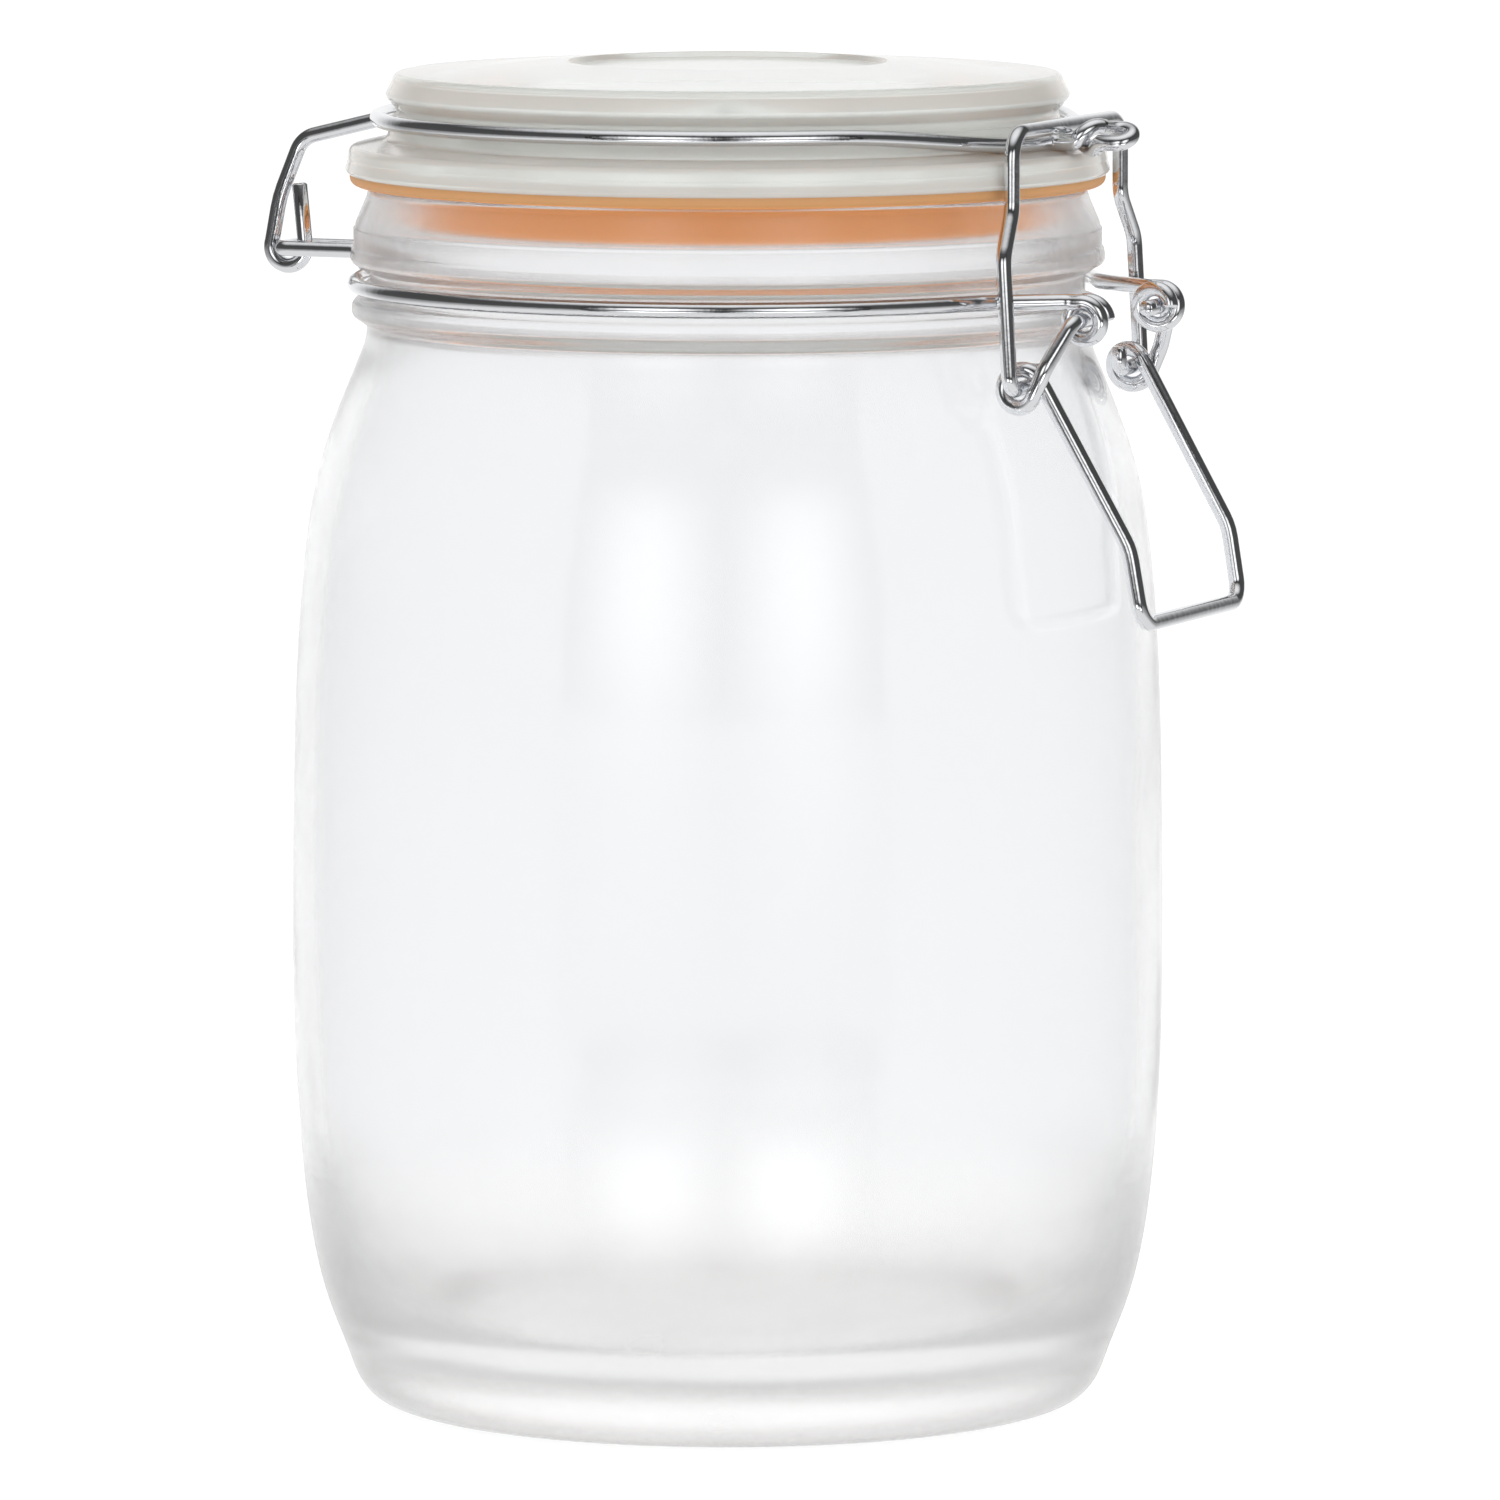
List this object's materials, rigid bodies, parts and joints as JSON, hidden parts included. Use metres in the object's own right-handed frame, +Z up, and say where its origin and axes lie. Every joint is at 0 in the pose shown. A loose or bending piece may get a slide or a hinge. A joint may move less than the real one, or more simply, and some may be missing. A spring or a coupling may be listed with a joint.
{
  "type": "clip-top glass storage jar",
  "caption": "Round glass storage canister with a hinged glass lid, rubber gasket and a bent-wire toggle clasp that clamps the lid shut.",
  "frame": {"origin": "on the jar's axis in its base plane", "axes": "+Z up along the jar's axis, +X towards the toggle clasp, -X towards the lid hinge"},
  "size_m": [0.1282, 0.11, 0.169],
  "materials": {
    "clear_glass": "clear, fire polished",
    "orange_rubber": "matte natural rubber",
    "bright_wire": "bright plated spring wire"
  },
  "bodies": {
    "jar_body": {"jar": "clear_glass", "neck_wire": "bright_wire"},
    "lid_body": {"lid": "clear_glass", "gasket": "orange_rubber", "lid_wire": "bright_wire", "lid_wire_nose": "bright_wire"},
    "lever_body": {"lever": "bright_wire"},
    "bail_body": {"bail": "bright_wire"}
  },
  "joints": [
    {"name": "lid_hinge", "type": "hinge", "parent": "jar_body", "child": "lid_body", "pos_m": [-0.0612, 0, 0.144], "axis": [0, -1, 0], "range_deg": [0, 110]},
    {"name": "lever_pivot", "type": "hinge", "parent": "jar_body", "child": "lever_body", "pos_m": [0.0534, 0, 0.139], "axis": [0, -1, 0], "range_deg": [0, 130], "deforming": ["lid_wire_nose"]},
    {"name": "bail_pivot", "type": "hinge", "parent": "lever_body", "child": "bail_body", "pos_m": [0.0473, 0, 0.1308], "axis": [0, 1, 0], "range_deg": [0, 125]}
  ],
  "couplings": [
    {"joint": "bail_pivot", "follows": "lever_pivot", "ratio": 0.96}
  ]
}
